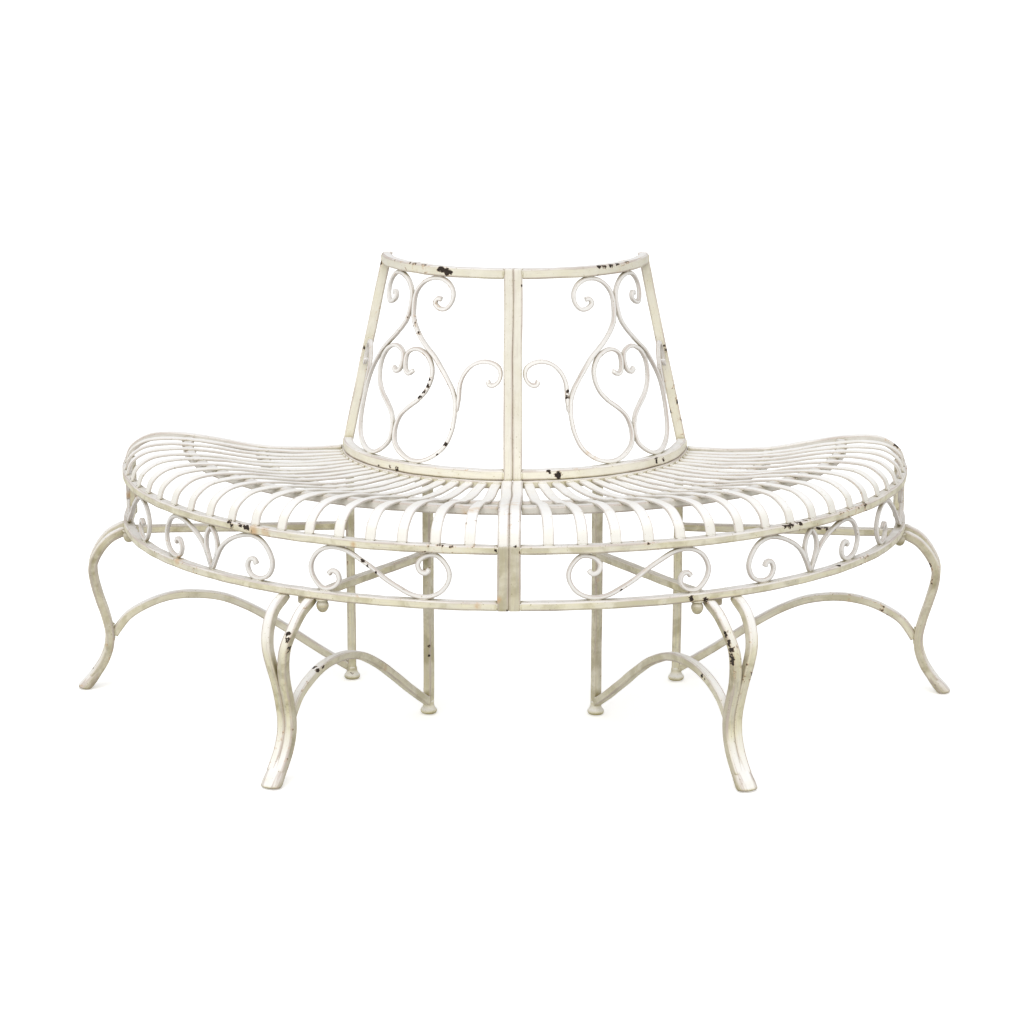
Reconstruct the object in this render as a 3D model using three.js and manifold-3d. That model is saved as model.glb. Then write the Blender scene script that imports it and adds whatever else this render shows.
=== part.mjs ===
// Half-round wrought-iron garden bench that wraps around a tree trunk.
// Two mirrored quarter sections stand side by side and meet at a seam in the middle of the front.
// Each quarter is a slatted seat, a scrollwork apron below the rim, a leaning scrollwork back panel
// and two radial leg frames.
//
// Units are millimetres, +Z is up and the front faces -Y. Shapes are worked out in a ring frame whose
// Z axis is the middle of the tree space; azimuth 0 is the middle of the front and 90 degrees is the
// free end of the right-hand quarter.

import * as THREE from 'three';
import { mergeVertices } from 'three/addons/utils/BufferGeometryUtils.js';
import Module from 'manifold-3d';

const wasm = await Module();
wasm.setup();

// ---- Driving dimensions -------------------------------------------------------------------------

const RIM_RADIUS = 800;          // outer face of the seat rim and the apron rim
const RAIL_DEPTH = 20;           // radial depth of every rolled rail
const RAIL_HEIGHT = 16;          // height of every rolled rail
const POST_WIDTH = 20;           // posts and end bars, across their front face
const SEAM_HALF_GAP = 1;         // half of the gap between two neighbouring quarters
const FIT_GAP = 0.3;             // gap kept where two pieces meet

const SEAT_RIM_TOP = 460;        // top of the rim along the front edge of the seat
const APRON_BOTTOM = 340.5;      // underside of the apron rim
const INNER_RIM_TOP = 484;       // top of the seat rim under the back panel

const BACK_BASE = 484.3;         // underside of the back panel
const BACK_TOP = 884;            // top of the back panel
const BACK_BASE_RADIUS = 353.7;  // outer face of the back panel at its underside
const BACK_TOP_RADIUS = 267.3;   // outer face of the back panel at its top
const BACK_RAIL_HEIGHT = 20;     // top and bottom rail of the back panel
const UPRIGHT_WIDTH = 17;        // side uprights of the back panel
const BACK_SCROLL_SHIFT = 6;     // the back scrolls sit this far off the middle, to the free end

const SLAT_COUNT = 19;           // slats between the two end bars of a quarter
const FIRST_SLAT_AZIMUTH = 5.1;  // degrees from the side of the quarter to the nearest slat
const SLAT_WIDTH = 20;
const SLAT_THICKNESS = 4;
const END_BAR_THICKNESS = 15;    // heavier bars that close the seat at both sides of a quarter
const HOOP_RADII = [528, 677];   // outer faces of the two hoops welded under the slats
const HOOP_TOPS = [480.5, 504.5];

const SCROLL_BAR = 8;            // square bar that all scrolls are bent from

const LEG_AZIMUTHS = { front: 29.2, side: 81.5 };
const STRAND_BAR = 18;           // square bar of the two strands of a cabriole leg
const LEG_BAR = 16;              // square bar of arches and braces
const LEG_TOP_RADIUS = 790;
const INNER_LEG_RADIUS = 340;
const INNER_LEG_WIDTH = 17;
const FOOT_CAP_RADIUS = 16.5;
const FOOT_CAP_HEIGHT = 18;
const FOOT_CAP_SHOULDER = 11;    // height at which the cap starts to taper
const FOOT_CAP_BEVEL = 2.5;
const NUT_RADIUS = 11.5;
const NUT_HEIGHT = 25;
const NUT_OFFSET = 52;           // along the apron rim, from the middle of the leg

const QUARTER = Math.PI / 2;
const POST_INSET = SEAM_HALF_GAP + POST_WIDTH + FIT_GAP;
const RAIL_SEGMENTS = 10;        // flat faces along a rail, round a foot cap and round a nut
const CAP_SEGMENTS = 16;
const NUT_SEGMENTS = 10;
const WELD_TOLERANCE = 1e-3;     // corners closer than this are one corner

// ---- Outlines that are bent from flat bar -------------------------------------------------------

// Section of the seat in a radial plane, as [radius, height] along the middle of the bar.
const SLAT_LINE = [
  [354.2, 477], [455, 476.5], [545, 484.5], [635, 501], [712, 508], [757, 502], [784, 483],
  [793, 460.4],
];
const END_BAR_LINE = [
  [354.2, 478.5], [400, 475.5], [460, 474.5], [530, 479], [610, 493], [665, 501.5],
  [715, 504.5], [745, 501.5], [768, 491.5], [782, 477], [788, 460.4],
];

// Cabriole leg in its radial plane, as [radius, height]; it runs on below the floor and is cut there.
const LEG_LINE = [
  [LEG_TOP_RADIUS, APRON_BOTTOM - FIT_GAP], [800, 334], [828, 319], [851, 292], [864, 262],
  [863, 232], [854, 195], [842, 155], [835, 120], [836, 92], [846, 62], [864, 34], [884, 8], [892, -6],
];
// Half the distance between the two strands of a leg, as [height, offset].
const STRAND_SPREAD = [[0, 8.5], [185, 8.5], [215, 11.5], [255, 18], [300, 26.5], [345, 30.5]];

// Arched stretcher from the cabriole leg to the foot of the straight inner leg.
const ARCH_LINE = [
  [826, 112], [816, 127], [795, 152], [753, 176], [705, 190], [655, 192],
  [605, 184], [556, 164], [505, 134], [450, 96], [400, 61], [343, 24],
];
// Straight bar from the inner leg to the apron rim, as heights of its middle at both ends.
const BRACE_HEIGHTS = [326, 331];
const BRACE_CLEARANCE = 1.4;     // room for its sloping end faces

// Half of an apron S-scroll from its middle, as [away from the seam, up]; the other half is turned.
const S_SCROLL_HALF = [
  [12, 9], [35, 23], [65, 38], [95, 40], [120, 27], [133, 3], [130, -18], [110, -39.5],
  [88, -36], [76, -21], [81, -7], [91, -5], [97, -12],
];
const S_SCROLL_MIDDLE = 380;     // along the apron from the middle of the quarter

// One arm of the lyre in the middle of the apron, and one side of the leaf loop inside it.
const LYRE_ARM = [
  [2, 361], [12, 380], [25, 400], [43, 415], [66, 427], [92, 435.5], [115, 437], [137, 429],
  [153, 411], [159, 391], [149, 370], [124, 361], [106, 366], [99, 380], [105, 393], [116, 394],
  [121, 386],
];
const LEAF_SIDE = [[1, 361], [10, 380], [17, 402], [13, 424], [1, 440]];

// Back panel strand: hook at the top, past the middle line, round the panel and up into a heart lobe.
// Points are [distance from the middle of the panel, height above BACK_BASE].
const STRAND_LINE = [
  [72, 336.5], [63, 337.5], [58, 328.5], [69, 319.5], [85, 318.5], [96, 332], [96.5, 349],
  [87, 364.5], [68, 375], [44, 375], [22, 364.5], [6.5, 344], [4.5, 319], [10, 291.5],
  [23, 272.5], [39.5, 255.5], [60, 238.5], [78.5, 224], [98, 203], [114, 184], [127, 166],
  [136, 146.5], [140, 127], [141, 107], [139, 84], [129, 57], [107, 36.5], [80, 25.5],
  [52, 25.5], [26, 37], [9.5, 52], [4.5, 68], [5.8, 88], [14, 107], [33, 125], [54, 141],
  [70, 160], [77.5, 182], [75.5, 204], [63, 223.5], [49, 232.5], [34, 237], [18, 234.5],
  [6, 225], [4.5, 208], [9.5, 193], [19.5, 188.5], [30, 195],
];
// Side scroll that springs from the flank of a strand and curls against the upright.
const SIDE_SCROLL_ROOT = 147.4;  // distance of its root and of its farthest point from the middle
const SIDE_SCROLL_REACH = 212.6;
const SIDE_SCROLL_LINE = [
  [SIDE_SCROLL_ROOT, 136], [143.5, 155], [141.5, 168], [141.5, 181], [146, 198], [156, 213],
  [169, 221], [184, 222.5], [198, 218.5], [208.5, 210],
  [SIDE_SCROLL_REACH, 197.5], [210.5, 185.5], [203, 178.5], [195, 179.5], [191, 187],
];

// ---- Geometry helpers ---------------------------------------------------------------------------

const radians = THREE.MathUtils.degToRad;

function smoothLine(points) {
  const vectors = points.map(([x, y]) => new THREE.Vector3(x, y, 0));
  return new THREE.CatmullRomCurve3(vectors, false, 'centripetal');
}

// Closed outline of a bar of the given thickness that follows a smooth line through the points.
function barOutline(points, thickness, divisions) {
  const curve = smoothLine(points);
  const left = [];
  const right = [];
  for (let i = 0; i <= divisions; i += 1) {
    const middle = curve.getPoint(i / divisions);
    const along = curve.getTangent(i / divisions);
    const side = new THREE.Vector2(-along.y, along.x).multiplyScalar(thickness / 2);
    left.push(new THREE.Vector2(middle.x + side.x, middle.y + side.y));
    right.unshift(new THREE.Vector2(middle.x - side.x, middle.y - side.y));
  }
  return new THREE.Shape([...left, ...right]);
}

// Flat-bent bar: its outline in XY, its width along Z and centred there.
function bentBar(points, thickness, width, divisions = Math.round(points.length * 1.4)) {
  const outline = barOutline(points, thickness, divisions);
  const geometry = new THREE.ExtrudeGeometry(outline, { depth: width, bevelEnabled: false });
  return geometry.translate(0, 0, -width / 2);
}

// Moves every vertex of a geometry by a function of its place.
function reshape(geometry, move) {
  const places = geometry.attributes.position;
  const point = new THREE.Vector3();
  for (let i = 0; i < places.count; i += 1) {
    point.fromBufferAttribute(places, i);
    move(point);
    places.setXYZ(i, point.x, point.y, point.z);
  }
  geometry.computeVertexNormals();
  return geometry;
}

// Point at a radius, azimuth in radians and height, in the ring frame.
function ringPoint(point, radius, azimuth, height) {
  return point.set(radius * Math.sin(azimuth), -radius * Math.cos(azimuth), height);
}

// Stands a shape drawn as (radius, height, sideways) in the radial plane at an azimuth in degrees.
function standRadially(geometry, azimuth) {
  const out = new THREE.Vector2(Math.sin(radians(azimuth)), -Math.cos(radians(azimuth)));
  return reshape(geometry, (p) => p.set(
    p.x * out.x + p.z * out.y,
    p.x * out.y - p.z * out.x,
    p.y,
  ));
}

// Wraps a shape drawn as (along, height, depth) around the ring at the middle of the quarter.
function wrap(geometry, radiusAt) {
  return reshape(geometry, (p) => {
    const radius = radiusAt(p.y);
    ringPoint(p, radius + p.z, QUARTER / 2 + p.x / radius, p.y);
  });
}

// Stretches a line in height so that a scroll bar bent along it just fits between two rails.
function fitBetween(points, railTop, railBottom) {
  const heights = smoothLine(points).getPoints(points.length * 8).map((p) => p.y);
  const clearance = SCROLL_BAR / 2 + FIT_GAP;
  const fit = (y) => THREE.MathUtils.mapLinear(
    y,
    Math.min(...heights),
    Math.max(...heights),
    railTop + clearance,
    railBottom - clearance,
  );
  return points.map(([x, y]) => [x, fit(y)]);
}

function mirrored(points) {
  return points.map(([x, y]) => [-x, y]);
}

// Mirror image across the seam plane, with its faces turned to point out again.
function mirrorAcrossSeam(geometry) {
  const copy = geometry.index ? geometry.toNonIndexed() : geometry.clone();
  const places = copy.attributes.position;
  const corner = [new THREE.Vector3(), new THREE.Vector3(), new THREE.Vector3()];
  for (let i = 0; i < places.count; i += 3) {
    corner.forEach((c, k) => c.fromBufferAttribute(places, i + k));
    [corner[0], corner[2], corner[1]].forEach((c, k) => places.setXYZ(i + k, -c.x, c.y, c.z));
  }
  copy.computeVertexNormals();
  return copy;
}

// Curved rail of a quarter between two radii, cut square at both sides of the quarter.
function quarterRail(outerRadius, bottom, endInset, height = RAIL_HEIGHT) {
  const innerRadius = outerRadius - RAIL_DEPTH;
  const outerEnd = Math.asin(endInset / outerRadius);
  const innerEnd = Math.asin(endInset / innerRadius);
  const outline = new THREE.Shape();
  outline.absarc(0, 0, outerRadius, -QUARTER + outerEnd, -outerEnd, false);
  outline.absarc(0, 0, innerRadius, -innerEnd, -QUARTER + innerEnd, true);
  const settings = { depth: height, bevelEnabled: false, curveSegments: RAIL_SEGMENTS };
  return new THREE.ExtrudeGeometry(outline, settings).translate(0, 0, bottom);
}

function toSolid(geometry) {
  const bare = geometry.clone();
  bare.deleteAttribute('normal');
  bare.deleteAttribute('uv');
  const merged = mergeVertices(bare, WELD_TOLERANCE);
  return new wasm.Manifold(new wasm.Mesh({
    numProp: 3,
    vertProperties: new Float32Array(merged.attributes.position.array),
    triVerts: new Uint32Array(merged.index.array),
  }));
}

function toGeometry(solid) {
  const mesh = solid.getMesh();
  const geometry = new THREE.BufferGeometry();
  geometry.setAttribute('position', new THREE.BufferAttribute(mesh.vertProperties, 3));
  geometry.setIndex(new THREE.BufferAttribute(mesh.triVerts, 1));
  geometry.computeVertexNormals();
  return geometry;
}

function weld(geometries) {
  const [first, ...others] = geometries.map(toSolid);
  return toGeometry(others.reduce((whole, next) => whole.add(next), first));
}

// Straight-line lookup in a table of [key, value] rows.
function lookUp(rows, key) {
  const after = rows.findIndex(([k]) => k >= key);
  if (after <= 0) return after === 0 ? rows[0][1] : rows[rows.length - 1][1];
  const [k0, v0] = rows[after - 1];
  const [k1, v1] = rows[after];
  return THREE.MathUtils.mapLinear(key, k0, k1, v0, v1);
}

// ---- Seat ---------------------------------------------------------------------------------------

// Bar of the seat in a radial plane, ending flat on top of the outer rim.
function seatBar(line, thickness, width) {
  const bar = bentBar(line, thickness, width, line.length - 1);
  return reshape(bar, (p) => {
    p.y = Math.max(p.y, SEAT_RIM_TOP + FIT_GAP);
  });
}

function seatGrille() {
  const pitch = (90 - 2 * FIRST_SLAT_AZIMUTH) / (SLAT_COUNT - 1);
  const pieces = HOOP_RADII.map((radius, i) => (
    quarterRail(radius, HOOP_TOPS[i] - RAIL_HEIGHT, POST_INSET)
  ));
  for (let i = 0; i < SLAT_COUNT; i += 1) {
    const slat = seatBar(SLAT_LINE, SLAT_THICKNESS, SLAT_WIDTH);
    pieces.push(standRadially(slat, FIRST_SLAT_AZIMUTH + i * pitch));
  }
  return weld(pieces);
}

// Heavy bar along one side of a quarter's seat; the seam bar lies at azimuth 0, the end bar at 90.
function seatSideBar(azimuth) {
  const bar = seatBar(END_BAR_LINE, END_BAR_THICKNESS, POST_WIDTH);
  const sideways = SEAM_HALF_GAP + POST_WIDTH / 2;
  bar.translate(0, 0, azimuth === 0 ? -sideways : sideways);
  return standRadially(bar, azimuth);
}

// ---- Apron --------------------------------------------------------------------------------------

const APRON_SCROLL_RADIUS = RIM_RADIUS - RAIL_DEPTH / 2;
const SEAT_RIM_BOTTOM = SEAT_RIM_TOP - RAIL_HEIGHT - FIT_GAP;

function apronScroll(points) {
  const fitted = fitBetween(points, APRON_BOTTOM + RAIL_HEIGHT, SEAT_RIM_BOTTOM);
  return wrap(bentBar(fitted, SCROLL_BAR, SCROLL_BAR), () => APRON_SCROLL_RADIUS);
}

function sScrollLine() {
  const turned = S_SCROLL_HALF.map(([x, y]) => [-x, -y]).reverse();
  return [...turned, [0, 0], ...S_SCROLL_HALF].map(([x, y]) => [S_SCROLL_MIDDLE - x, y]);
}

function lyre() {
  const parts = [LYRE_ARM, mirrored(LYRE_ARM), LEAF_SIDE, mirrored(LEAF_SIDE)];
  return weld(parts.map(apronScroll));
}

// Upright post of the apron frame, from the underside of the apron rim to the top of the seat rim.
function apronPost(azimuth) {
  const post = new THREE.BoxGeometry(RAIL_DEPTH, SEAT_RIM_TOP - APRON_BOTTOM, POST_WIDTH);
  const sideways = SEAM_HALF_GAP + POST_WIDTH / 2;
  post.translate(
    RIM_RADIUS - FIT_GAP - RAIL_DEPTH / 2,
    (SEAT_RIM_TOP + APRON_BOTTOM) / 2,
    azimuth === 0 ? -sideways : sideways,
  );
  return standRadially(post, azimuth);
}

// ---- Back panel ---------------------------------------------------------------------------------

const BACK_LEAN = (BACK_BASE_RADIUS - BACK_TOP_RADIUS) / (BACK_TOP - BACK_BASE);

// Radius of the outer face of the back panel at a height.
function backRadius(height) {
  return BACK_BASE_RADIUS - BACK_LEAN * (height - BACK_BASE);
}

function backRail(bottom) {
  const inset = SEAM_HALF_GAP + UPRIGHT_WIDTH + FIT_GAP;
  return quarterRail(backRadius(bottom + BACK_RAIL_HEIGHT / 2), bottom, inset, BACK_RAIL_HEIGHT);
}

function backUpright(azimuth) {
  const outline = new THREE.Shape([
    new THREE.Vector2(BACK_BASE_RADIUS, BACK_BASE),
    new THREE.Vector2(BACK_TOP_RADIUS, BACK_TOP),
    new THREE.Vector2(BACK_TOP_RADIUS - RAIL_DEPTH, BACK_TOP),
    new THREE.Vector2(BACK_BASE_RADIUS - RAIL_DEPTH, BACK_BASE),
  ]);
  const bar = new THREE.ExtrudeGeometry(outline, { depth: UPRIGHT_WIDTH, bevelEnabled: false });
  bar.translate(0, 0, azimuth === 0 ? -SEAM_HALF_GAP - UPRIGHT_WIDTH : SEAM_HALF_GAP);
  return standRadially(bar, azimuth);
}

function backScroll(points) {
  const drawn = points.map(([x, y]) => [x + BACK_SCROLL_SHIFT, y + BACK_BASE]);
  const bar = bentBar(drawn, SCROLL_BAR, SCROLL_BAR);
  return wrap(bar, (height) => backRadius(height) - RAIL_DEPTH / 2);
}

function backStrandLine() {
  return fitBetween(STRAND_LINE, BACK_RAIL_HEIGHT, BACK_TOP - BACK_BASE - BACK_RAIL_HEIGHT);
}

// Side scroll, stretched sideways from its root so that its curl still ends at the upright.
function sideScrollLine(stretch) {
  const reach = SIDE_SCROLL_REACH + stretch;
  return SIDE_SCROLL_LINE.map(([x, y]) => [
    THREE.MathUtils.mapLinear(x, SIDE_SCROLL_ROOT, SIDE_SCROLL_REACH, SIDE_SCROLL_ROOT, reach),
    y,
  ]);
}

// ---- Leg frames ---------------------------------------------------------------------------------

// One strand of a cabriole leg: a bar bent in the radial plane, then swept sideways with height.
function legStrand(side, grow = 0) {
  const bar = bentBar(LEG_LINE, STRAND_BAR + grow, STRAND_BAR + grow, LEG_LINE.length + 6);
  return reshape(bar, (p) => {
    p.z += side * lookUp(STRAND_SPREAD, p.y);
    p.y = Math.min(p.y, APRON_BOTTOM - FIT_GAP);
  });
}

function floorCutter() {
  const size = 200;
  return new THREE.BoxGeometry(size, size, size).translate(LEG_TOP_RADIUS + size / 2, -size / 2, 0);
}

function cabrioleSolid(grow = 0) {
  const strands = toSolid(legStrand(-1, grow)).add(toSolid(legStrand(1, grow)));
  return strands.subtract(toSolid(floorCutter()));
}

// Straight inner leg with its round foot cap.
function innerLegSolid(grow = 0) {
  const width = INNER_LEG_WIDTH + grow;
  const top = INNER_RIM_TOP - RAIL_HEIGHT - FIT_GAP;
  const hidden = FOOT_CAP_HEIGHT / 2;
  const tube = new THREE.BoxGeometry(width, top - hidden, width);
  tube.translate(INNER_LEG_RADIUS, (top + hidden) / 2, 0);
  const radius = FOOT_CAP_RADIUS + grow / 2;
  const profile = [
    [0, 0], [radius - FOOT_CAP_BEVEL, 0], [radius, FOOT_CAP_BEVEL], [radius, FOOT_CAP_SHOULDER],
    [radius - 2 * FOOT_CAP_BEVEL, FOOT_CAP_HEIGHT], [0, FOOT_CAP_HEIGHT],
  ];
  const cap = new THREE.LatheGeometry(profile.map(([x, y]) => new THREE.Vector2(x, y)), CAP_SEGMENTS);
  cap.translate(INNER_LEG_RADIUS, 0, 0);
  return toSolid(tube).add(toSolid(cap));
}

function archSolid() {
  const arch = toSolid(bentBar(ARCH_LINE, LEG_BAR, LEG_BAR, ARCH_LINE.length + 1));
  const clearance = 2 * FIT_GAP;
  return arch.subtract(cabrioleSolid(clearance)).subtract(innerLegSolid(clearance));
}

function brace() {
  const start = INNER_LEG_RADIUS + INNER_LEG_WIDTH / 2 + BRACE_CLEARANCE;
  const end = RIM_RADIUS - RAIL_DEPTH - BRACE_CLEARANCE;
  return bentBar([[start, BRACE_HEIGHTS[0]], [end, BRACE_HEIGHTS[1]]], LEG_BAR, LEG_BAR, 1);
}

// Domed nut on the underside of the apron rim beside a leg, towards the seam.
function domeNut() {
  const top = APRON_BOTTOM - FIT_GAP;
  const profile = [
    [0, top], [NUT_RADIUS, top], [NUT_RADIUS, top - NUT_HEIGHT / 2],
    [NUT_RADIUS * 0.6, top - NUT_HEIGHT * 0.9], [0, top - NUT_HEIGHT],
  ].reverse();
  const nut = new THREE.LatheGeometry(profile.map(([x, y]) => new THREE.Vector2(x, y)), NUT_SEGMENTS);
  return nut.translate(LEG_TOP_RADIUS, 0, NUT_OFFSET);
}

// ---- Assembly -----------------------------------------------------------------------------------

const CREAM = 0xe9e4d0;
const AGED_CREAM = 0xdcd5ba;
const SHADED_CREAM = 0xc9c1a2;

function paintedIron(color) {
  return new THREE.MeshStandardMaterial({ color, roughness: 0.62, metalness: 0.0 });
}

const bench = new THREE.Group();
bench.position.y = (RIM_RADIUS + SEAM_HALF_GAP) / 2;

function addPiece(name, geometry, color) {
  const mesh = new THREE.Mesh(geometry, paintedIron(color));
  mesh.name = name;
  bench.add(mesh);
}

const QUARTER_PIECES = {
  seat_outer_rim: [
    quarterRail(RIM_RADIUS, SEAT_RIM_BOTTOM, POST_INSET), CREAM],
  seat_inner_rim: [
    quarterRail(BACK_BASE_RADIUS, INNER_RIM_TOP - RAIL_HEIGHT, SEAM_HALF_GAP), SHADED_CREAM],
  seat_grille: [seatGrille(), CREAM],
  seat_seam_bar: [seatSideBar(0), CREAM],
  seat_end_bar: [seatSideBar(90), CREAM],
  apron_rim: [quarterRail(RIM_RADIUS, APRON_BOTTOM, POST_INSET), AGED_CREAM],
  apron_seam_post: [apronPost(0), AGED_CREAM],
  apron_end_post: [apronPost(90), AGED_CREAM],
  apron_seam_scroll: [apronScroll(mirrored(sScrollLine())), CREAM],
  apron_lyre: [lyre(), CREAM],
  apron_end_scroll: [apronScroll(sScrollLine()), CREAM],
  back_bottom_rail: [backRail(BACK_BASE), AGED_CREAM],
  back_top_rail: [backRail(BACK_TOP - BACK_RAIL_HEIGHT), AGED_CREAM],
  back_seam_upright: [backUpright(0), AGED_CREAM],
  back_end_upright: [backUpright(90), AGED_CREAM],
  back_seam_strand: [backScroll(mirrored(backStrandLine())), CREAM],
  back_end_strand: [backScroll(backStrandLine()), CREAM],
  back_seam_side_scroll: [backScroll(mirrored(sideScrollLine(BACK_SCROLL_SHIFT))), CREAM],
  back_end_side_scroll: [backScroll(sideScrollLine(-BACK_SCROLL_SHIFT)), CREAM],
};

for (const [name, [geometry, color]] of Object.entries(QUARTER_PIECES)) {
  addPiece(`right_${name}`, geometry, color);
  addPiece(`left_${name}`, mirrorAcrossSeam(geometry), color);
}

const LEG_PIECES = {
  cabriole_leg: [toGeometry(cabrioleSolid()), AGED_CREAM],
  inner_leg: [toGeometry(innerLegSolid()), SHADED_CREAM],
  arch_stretcher: [toGeometry(archSolid()), AGED_CREAM],
  brace: [brace(), SHADED_CREAM],
  dome_nut: [domeNut(), SHADED_CREAM],
};

for (const [place, azimuth] of Object.entries(LEG_AZIMUTHS)) {
  for (const [name, [geometry, color]] of Object.entries(LEG_PIECES)) {
    const placed = standRadially(geometry.clone(), azimuth);
    addPiece(`right_${place}_${name}`, placed, color);
    addPiece(`left_${place}_${name}`, mirrorAcrossSeam(placed), color);
  }
}

export default bench;
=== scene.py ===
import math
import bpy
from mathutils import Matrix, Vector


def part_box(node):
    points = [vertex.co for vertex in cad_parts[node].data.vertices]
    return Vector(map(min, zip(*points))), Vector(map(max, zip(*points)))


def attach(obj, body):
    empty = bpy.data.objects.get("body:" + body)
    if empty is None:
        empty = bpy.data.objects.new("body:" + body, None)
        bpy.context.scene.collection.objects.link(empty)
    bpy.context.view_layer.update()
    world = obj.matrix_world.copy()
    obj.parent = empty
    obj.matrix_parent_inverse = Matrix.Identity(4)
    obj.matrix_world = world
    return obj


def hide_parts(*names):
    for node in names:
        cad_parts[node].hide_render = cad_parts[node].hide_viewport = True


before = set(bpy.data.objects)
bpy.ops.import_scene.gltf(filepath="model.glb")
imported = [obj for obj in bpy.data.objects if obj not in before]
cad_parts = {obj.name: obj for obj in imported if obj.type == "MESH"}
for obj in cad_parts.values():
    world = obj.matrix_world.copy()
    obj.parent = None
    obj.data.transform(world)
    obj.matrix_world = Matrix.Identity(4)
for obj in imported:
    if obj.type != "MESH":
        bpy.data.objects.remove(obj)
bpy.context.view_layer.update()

# Looks of the half-round iron tree bench: hand-forged bars, weld beads and old cream paint.
# Shapes are worked out in millimetres, in a ring frame whose Z axis is the middle of the tree space:
# azimuth 0 is the middle of the front, and 90 degrees is the free end of the right-hand quarter.

import zlib
from types import SimpleNamespace

import bpy
import numpy as np

MM = 0.001
QUARTER = math.pi / 2

# ---- Sizes read from the frame ----


def box_mm(node):
    low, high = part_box(node)
    return np.array(low) / MM, np.array(high) / MM


SEAM_HALF_GAP = box_mm("right_back_seam_upright")[0][0]
SEAM_PAINT = 0.95  # how far thick paint swells into the gap at the seam
POST_WIDTH = box_mm("right_apron_seam_post")[1][0] - SEAM_HALF_GAP
UPRIGHT_WIDTH = box_mm("right_back_seam_upright")[1][0] - SEAM_HALF_GAP
FIT_GAP = 0.3
SUNK = 1  # how deep the end of a bar is sunk into the bar that it meets
POST_INSET = SEAM_HALF_GAP + POST_WIDTH + FIT_GAP
UPRIGHT_INSET = SEAM_HALF_GAP + UPRIGHT_WIDTH + FIT_GAP
RIM_RADIUS = math.hypot(box_mm("right_seat_outer_rim")[1][0], POST_INSET)
RING_CENTRE = (RIM_RADIUS + SEAM_HALF_GAP) / 2

RAIL_DEPTH = 20
SEAT_RIM_BOTTOM, SEAT_RIM_TOP = (box_mm("right_seat_outer_rim")[k][2] for k in (0, 1))
RAIL_HEIGHT = SEAT_RIM_TOP - SEAT_RIM_BOTTOM
RAIL_CORNER = 3.2
APRON_BOTTOM = box_mm("right_apron_rim")[0][2]
INNER_RIM_TOP = box_mm("right_seat_inner_rim")[1][2]
BACK_BASE = box_mm("right_back_seam_upright")[0][2]
BACK_TOP = box_mm("right_back_seam_upright")[1][2]
BACK_BASE_RADIUS = math.hypot(box_mm("right_seat_inner_rim")[1][0], SEAM_HALF_GAP)
BACK_TOP_RADIUS = 267.3
BACK_RAIL_HEIGHT = 20
BACK_SCROLL_SHIFT = 6
BACK_LEAN = (BACK_BASE_RADIUS - BACK_TOP_RADIUS) / (BACK_TOP - BACK_BASE)

SLAT_COUNT = 19
FIRST_SLAT_AZIMUTH = 5.1
SLAT_PITCH = (90 - 2 * FIRST_SLAT_AZIMUTH) / (SLAT_COUNT - 1)
SLAT_AZIMUTHS = [FIRST_SLAT_AZIMUTH + i * SLAT_PITCH for i in range(SLAT_COUNT)]
SLAT_WIDTH = 20
SLAT_THICKNESS = 4
END_BAR_THICKNESS = 15
HOOP_RADII = (528, 677)
HOOP_TOPS = (480.5, 504.5)

SCROLL_BAR = 8
LEG_AZIMUTHS = {"front": 29.2, "side": 81.5}
STRAND_BAR = 18
LEG_BAR = 16
LEG_TOP_RADIUS = 790
INNER_LEG_RADIUS = 340
INNER_LEG_WIDTH = 17
FOOT_CAP_RADIUS = 16.5
FOOT_CAP_HEIGHT = 18
BRACE_HEIGHTS = (326, 331)
NUT_RADIUS = 11.5
NUT_HEIGHT = 25
NUT_OFFSET = 52

# ---- Lines that the bars are bent along ----

# Seat bars and legs as (radius, height); scrolls as (along, height).
SLAT_LINE = (
    (354.2, 477), (455, 476.5), (545, 484.5), (635, 501), (712, 508), (757, 502), (784, 483),
    (793, 460.4),
)
END_BAR_LINE = (
    (354.2, 478.5), (400, 475.5), (460, 474.5), (530, 479), (610, 493), (665, 501.5),
    (715, 504.5), (745, 501.5), (768, 491.5), (785, 477), (792.4, 457),
)
LEG_LINE = (
    (790, 340.2), (800, 334), (828, 319), (851, 292), (864, 262), (863, 232), (854, 195),
    (842, 155), (835, 120), (836, 92), (846, 62), (864, 34), (884, 8), (892, -6),
)
STRAND_SPREAD = (
    (-20, 8.5), (0, 8.5), (90, 8.5), (150, 8.5), (190, 8.9), (215, 11.5), (255, 18), (300, 26.5),
    (345, 30.5),
)
ARCH_LINE = (
    (826, 112), (816, 127), (795, 152), (753, 176), (705, 190), (655, 192),
    (605, 184), (556, 164), (505, 134), (450, 96), (400, 61), (343, 24),
)
S_SCROLL_HALF = (
    (12, 9), (35, 23), (65, 38), (95, 40), (120, 27), (133, 3), (130, -18), (110, -39.5),
    (88, -36), (76, -21), (81, -7), (91, -5), (97, -12),
)
S_SCROLL_MIDDLE = 380
LYRE_ARM = (
    (2, 361), (12, 380), (25, 400), (43, 415), (66, 427), (92, 435.5), (115, 437), (137, 429),
    (153, 411), (159, 391), (149, 370), (124, 361), (106, 366), (99, 380), (105, 393), (116, 394),
    (121, 386),
)
LEAF_SIDE = ((1, 361), (10, 380), (17, 402), (13, 424), (1, 440))
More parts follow.
